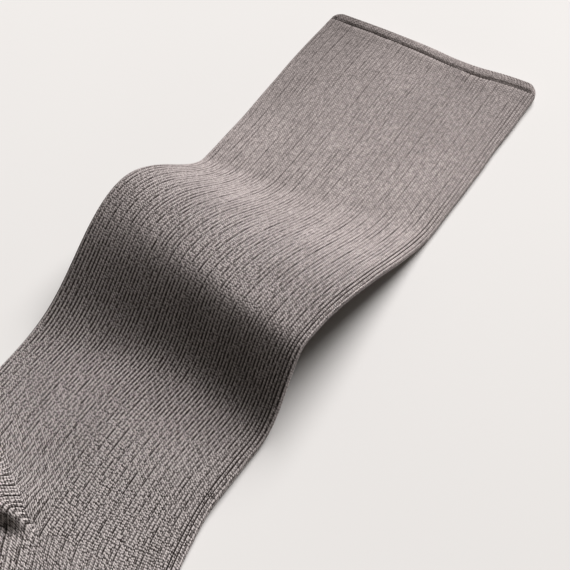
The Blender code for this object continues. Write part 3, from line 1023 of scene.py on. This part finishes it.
class KnitNodes(Nodes):
    """The node tree of a knit, with a point's wale and course, its zone and its stitch."""

    def __init__(self, name):
        super().__init__(name)
        knit_map = self.add("ShaderNodeUVMap")
        knit_map.uv_map = KNIT_MAP
        parts = self.add("ShaderNodeSeparateXYZ", knit_map.outputs[0])
        self.wale, self.course = parts.outputs[0], parts.outputs[1]
        self.place = self.object_place()
        self.fibre = self.noise(self.place, FIBRE_SCALE, 3.0, 0.65)
        self.find_zone()
        self.find_stitch()

    def grain(self, across, stretch):
        return self.vector(self.times(across, stretch[0]), self.times(self.course, stretch[1]))

    def find_zone(self):
        self.clearness = self.remap(self.course, CLEAR_COURSES, (CLEAR_AT_CUFF, 1.0))
        self.at_cuff = self.remap(self.course, CLEAR_COURSES, (1.0, 0.0))
        past_crest = self.remap(self.course, SHADE_START)
        self.in_shade = self.times(past_crest, self.remap(self.course, SHADE_END, (1.0, 0.0)))
        self.on_foot = self.remap(self.course, FOOT_COURSES)

    def find_stitch(self):
        """Beads with pits between them, a groove at the wale's border, a split in its middle."""
        wale_index = self.math("FLOOR", self.wale)
        in_wale = self.math("FRACT", self.wale)
        sway = self.noise(self.grain(wale_index, MIDDLE_GRAIN), 1.0, 2.0)
        from_middle = self.scaled(self.math("SUBTRACT", sway, 0.5), MIDDLE_SWAY, -1.0)
        off_middle = self.math("ABSOLUTE", self.scaled(in_wale, 2.0, from_middle))
        drift = self.times(self.noise(self.grain(self.wale, DRIFT_GRAIN), 1.0, 1.0), STITCH_DRIFT)
        stagger = self.times(self.random(self.vector(wale_index, 3.0)), STITCH_STAGGER)
        phase = self.plus(drift, stagger, self.times(in_wale, STITCH_LEAN))
        self.stitch = self.plus(self.course, phase)
        stitch_place = self.vector(self.wale, self.stitch)
        bead_distance, self.bead_tone = self.cells(stitch_place, STITCH_JITTER)
        self.pit = self.remap(bead_distance, PIT_EDGE)
        self.split = self.remap(off_middle, (0.0, SPLIT_WIDTH), (1.0, 0.0))
        groove_start = self.scaled(self.in_shade, -GROOVE_WIDENING, GROOVE_EDGE[0])
        self.groove = self.remap(off_middle, (groove_start, GROOVE_EDGE[1]))

    # Painted shade in the groove at each wale's border: by the repeat, stronger behind the wave and
    # by the instep fold
    def groove_painted_shade(self, strength):
        border = self.math("ROUND", self.wale)
        in_repeat = self.math("FLOORED_MODULO", border, 3.0)
        first, second, third = REPEAT_SHARES
        is_first = self.math("LESS_THAN", in_repeat, 0.5)
        is_third = self.math("GREATER_THAN", in_repeat, 1.5)
        repeat = self.scaled(is_third, third - second, second)
        repeat = self.larger(self.scaled(is_first, first - second, repeat), self.in_shade)
        faintest = self.scaled(self.at_cuff, -GROOVE_FAINTER_AT_CUFF, GROOVE_FAINTEST)
        wander = self.noise(self.grain(border, GROOVE_GRAIN), 1.0, 2.0)
        wander = self.remap(wander, GROOVE_WANDER, (faintest, 1.0))
        tone = self.random(self.vector(border, self.math("FLOOR", self.stitch)))
        share = self.times(wander, self.spread(tone, GROOVE_LEAST, 1.0), repeat)
        in_shade = self.times(self.in_shade, self.spread(tone, SHADE_GROOVE_LEAST, 1.0))
        share = self.larger(share, in_shade)
        off_fold_wale = self.math("ABSOLUTE", self.math("SUBTRACT", self.wale, FOLD_WALE))
        by_fold = self.remap(off_fold_wale, FOLD_WALE_REACH, (FOLD_WALE_SHARE, 0.0))
        share = self.times(self.larger(share, by_fold), strength)
        clearness = self.remap(self.course, GROOVE_CLEAR_COURSES, (CLEAR_AT_CUFF, 1.0))
        return self.times(self.groove, share, clearness)

    def pit_painted_shade(self, strength):
        """The painted shade in the pits, and in the split between the two legs of the foot's
        stitches.
        """
        pit = self.times(self.spread(self.bead_tone, *PIT_BY_TONE), strength)
        for zone, change in zip((self.in_shade, self.on_foot, self.at_cuff), PIT_CHANGES):
            pit = self.times(pit, self.scaled(zone, change, 1.0))
        split = self.times(self.split, self.times(self.on_foot, SPLIT_STRENGTH))
        split = self.times(split, self.spread(self.bead_tone, *SPLIT_BY_TONE))
        return self.times(self.scaled(self.pit, pit, split), self.clearness)

    def yarn_colour(self, shade, darkness):
        """Heathered yarn, softer at the cuff, darker there by painted shade, and paler on the foot;
        painted shade also fills its pits and grooves.
        """
        heather = self.noise(self.grain(self.wale, HEATHER_GRAIN), 1.0, 3.0)
        blotch = self.noise(self.place, BLOTCH_SCALE, 4.0, 0.6)
        heather_light, heather_dark = rgba(HEATHER_LIGHT, shade), rgba(HEATHER_DARK, shade)
        light, mid, dark = (rgba(yarn, shade) for yarn in (YARN_LIGHT, YARN_MID, PAINTED_SHADE_COLOUR))
        at_cuff = self.mix(self.remap(heather, CUFF_HEATHER_EDGE), heather_light, heather_dark)
        cuff_shade = self.remap(self.wale, CUFF_SHADE_WALES, (CUFF_SHADE_BY_HEEL, CUFF_SHADE))
        near_cuff = self.remap(self.course, CUFF_SHADE_COURSES, (1.0, 0.0))
        colour = light
        for share, laid_on in (
            (self.spread(self.bead_tone, 0.0, BEAD_TINT), mid),
            (self.remap(heather, *HEATHER_TINT), mid),
            (self.remap(self.fibre, *FIBRE_TINT), light),
            (self.times(self.at_cuff, CUFF_HEATHER), at_cuff),
            (self.remap(blotch, *BLOTCH_TINT), heather_dark),
            (self.times(self.on_foot, FOOT_PALER), rgba(YARN_PALEST, shade)),
            # The last two are painted shade: near black in the pits, grooves and splits, and near
            # the cuff
            (darkness, dark),
            (self.times(cuff_shade, near_cuff), dark),
        ):
            colour = self.mix(share, colour, laid_on)
        return colour

    def relief(self):
        """The stitch's small relief, as a bump."""
        parts = (self.pit, self.groove, self.split, self.fibre, self.bead_tone)
        height = 0.0
        for part, share in zip(parts, RELIEF_SHARES):
            height = self.scaled(part, share, height)
        bump = self.add("ShaderNodeBump")
        bump.inputs["Strength"].default_value = 1.0
        bump.inputs["Distance"].default_value = STITCH_HEIGHT
        self.feed(bump.inputs["Height"], self.times(height, self.clearness))
        return bump.outputs[0]


def knit_material(name, shade, groove_strength, pit_strength):
    """Heathered yarn: every stitch is a pale bead among pits, and every wale ends in a groove; the
    pits and grooves are darkened with painted shade.

    The relief is clearer from the wave on than near the cuff. Behind the wave, on its shaded slope,
    the grooves are wide, alike and hold more painted shade, and on the foot each wale also shows the
    split between the two legs of its stitches.
    """
    nodes = KnitNodes(name)
    pits = nodes.pit_painted_shade(pit_strength)
    darkness = nodes.math("ADD", pits, nodes.groove_painted_shade(groove_strength), clamp=True)
    nodes.feed(nodes.shader.inputs["Normal"], nodes.relief())
    return nodes.finish(nodes.yarn_colour(shade, darkness), KNIT_SURFACE)


def floor_material():
    nodes = Nodes("pale_floor")
    clouds = nodes.noise(nodes.object_place(), FLOOR_CLOUD_SCALE, 2.0)
    cloudy = nodes.remap(clouds, FLOOR_CLOUD_EDGE)
    return nodes.finish(nodes.mix(cloudy, rgba(FLOOR_DARK), rgba(FLOOR_LIGHT)), FLOOR_SURFACE)


# ---- Floor, light and camera -------------------------------

FLOOR_SIZE = 4.0

# One wide soft lamp beyond the cuff, aimed at the wave, and a faint warm room, in metres
KEY_PLACE = (0.05, 3.5, 3.35)
KEY_SIZE = 3.5
KEY_POWER = 425.0
KEY_COLOUR = (1.0, 0.985, 0.975)
AIM = (-0.03, 0.06, 0.0)
WORLD_COLOUR = (1.0, 0.95, 0.82)
WORLD_STRENGTH = 0.10


def make_floor():
    half = FLOOR_SIZE / 2
    corners = [(-half, -half, 0), (half, -half, 0), (half, half, 0), (-half, half, 0)]
    mesh = bpy.data.meshes.new("floor")
    mesh.from_pydata(corners, [], [(0, 1, 2, 3)])
    mesh.materials.append(floor_material())
    floor = bpy.data.objects.new("floor", mesh)
    bpy.context.scene.collection.objects.link(floor)


def look_at(place, target):
    """A matrix that puts an object at a place with its -Z axis towards a target."""
    forward = np.subtract(target, place)
    forward = forward / np.linalg.norm(forward)
    right = np.cross(forward, (0, 0, 1))
    right = right / np.linalg.norm(right)
    up = np.cross(right, forward)
    return place_matrix(place, right, up, forward)


def place_matrix(place, right, up, forward):
    axes = np.stack([right, up, -np.asarray(forward), place], axis=1)
    return Matrix([*axes.tolist(), [0, 0, 0, 1]])


def make_lights():
    light = bpy.data.lights.new("key", "AREA")
    light.shape = "DISK"
    light.size = KEY_SIZE
    light.energy = KEY_POWER
    light.color = KEY_COLOUR
    key = bpy.data.objects.new("key", light)
    key.matrix_world = look_at(KEY_PLACE, AIM)
    bpy.context.scene.collection.objects.link(key)
    world = bpy.data.worlds.new("room")
    world.use_nodes = True
    background = world.node_tree.nodes["Background"]
    background.inputs["Color"].default_value = (*WORLD_COLOUR, 1.0)
    background.inputs["Strength"].default_value = WORLD_STRENGTH
    bpy.context.scene.world = world


def make_camera():
    yaw, down, roll = (math.radians(angle) for angle in (CAMERA_YAW, CAMERA_DOWN, CAMERA_ROLL))
    level_forward = np.array([math.sin(yaw), math.cos(yaw), 0.0])
    forward = math.cos(down) * level_forward - np.array([0.0, 0.0, math.sin(down)])
    level_right = np.array([math.cos(yaw), -math.sin(yaw), 0.0])
    level_up = np.cross(level_right, forward)
    right = math.cos(roll) * level_right + math.sin(roll) * level_up
    up = -math.sin(roll) * level_right + math.cos(roll) * level_up
    data = bpy.data.cameras.new("camera")
    data.sensor_width = SENSOR_WIDTH
    data.lens = FOCAL_PIXELS / PHOTO_PIXELS * SENSOR_WIDTH
    data.clip_start = 0.01
    data.clip_end = 20.0
    camera = bpy.data.objects.new("camera", data)
    camera.matrix_world = place_matrix((CAMERA_PLACE - ORIGIN) * MM, right, up, forward)
    bpy.context.scene.collection.objects.link(camera)
    bpy.context.scene.camera = camera


make_camera()
make_lights()
make_floor()
bpy.context.scene.view_settings.view_transform = "Standard"

rib_yarn = knit_material("rib_knit_yarn", shade=1.0, groove_strength=1.15, pit_strength=1.03)
welt_yarn = knit_material("welt_yarn", shade=0.98, groove_strength=0.3, pit_strength=1.5)
toe_yarn = knit_material("toe_yarn", shade=0.97, groove_strength=0.6, pit_strength=0.9)
welt = welt_tube("welt_knit", welt_yarn)
leg, leg_courses = open_tube("leg_knit", leg_rows(), rib_yarn, np.zeros(WALES_AROUND))
foot, foot_courses = open_tube("heel_foot_knit", foot_rows(), rib_yarn, leg_courses)
toe = toe_tube("toe_knit", toe_yarn, foot_courses)

for piece, node, slot in (
    (welt, "cuff_welt", "welt_knit"),
    (leg, "leg", "rib_knit"),
    (foot, "heel_foot", "rib_knit"),
    (toe, "toe", "plain_knit"),
):
    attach(piece, "root")
    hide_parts(node)
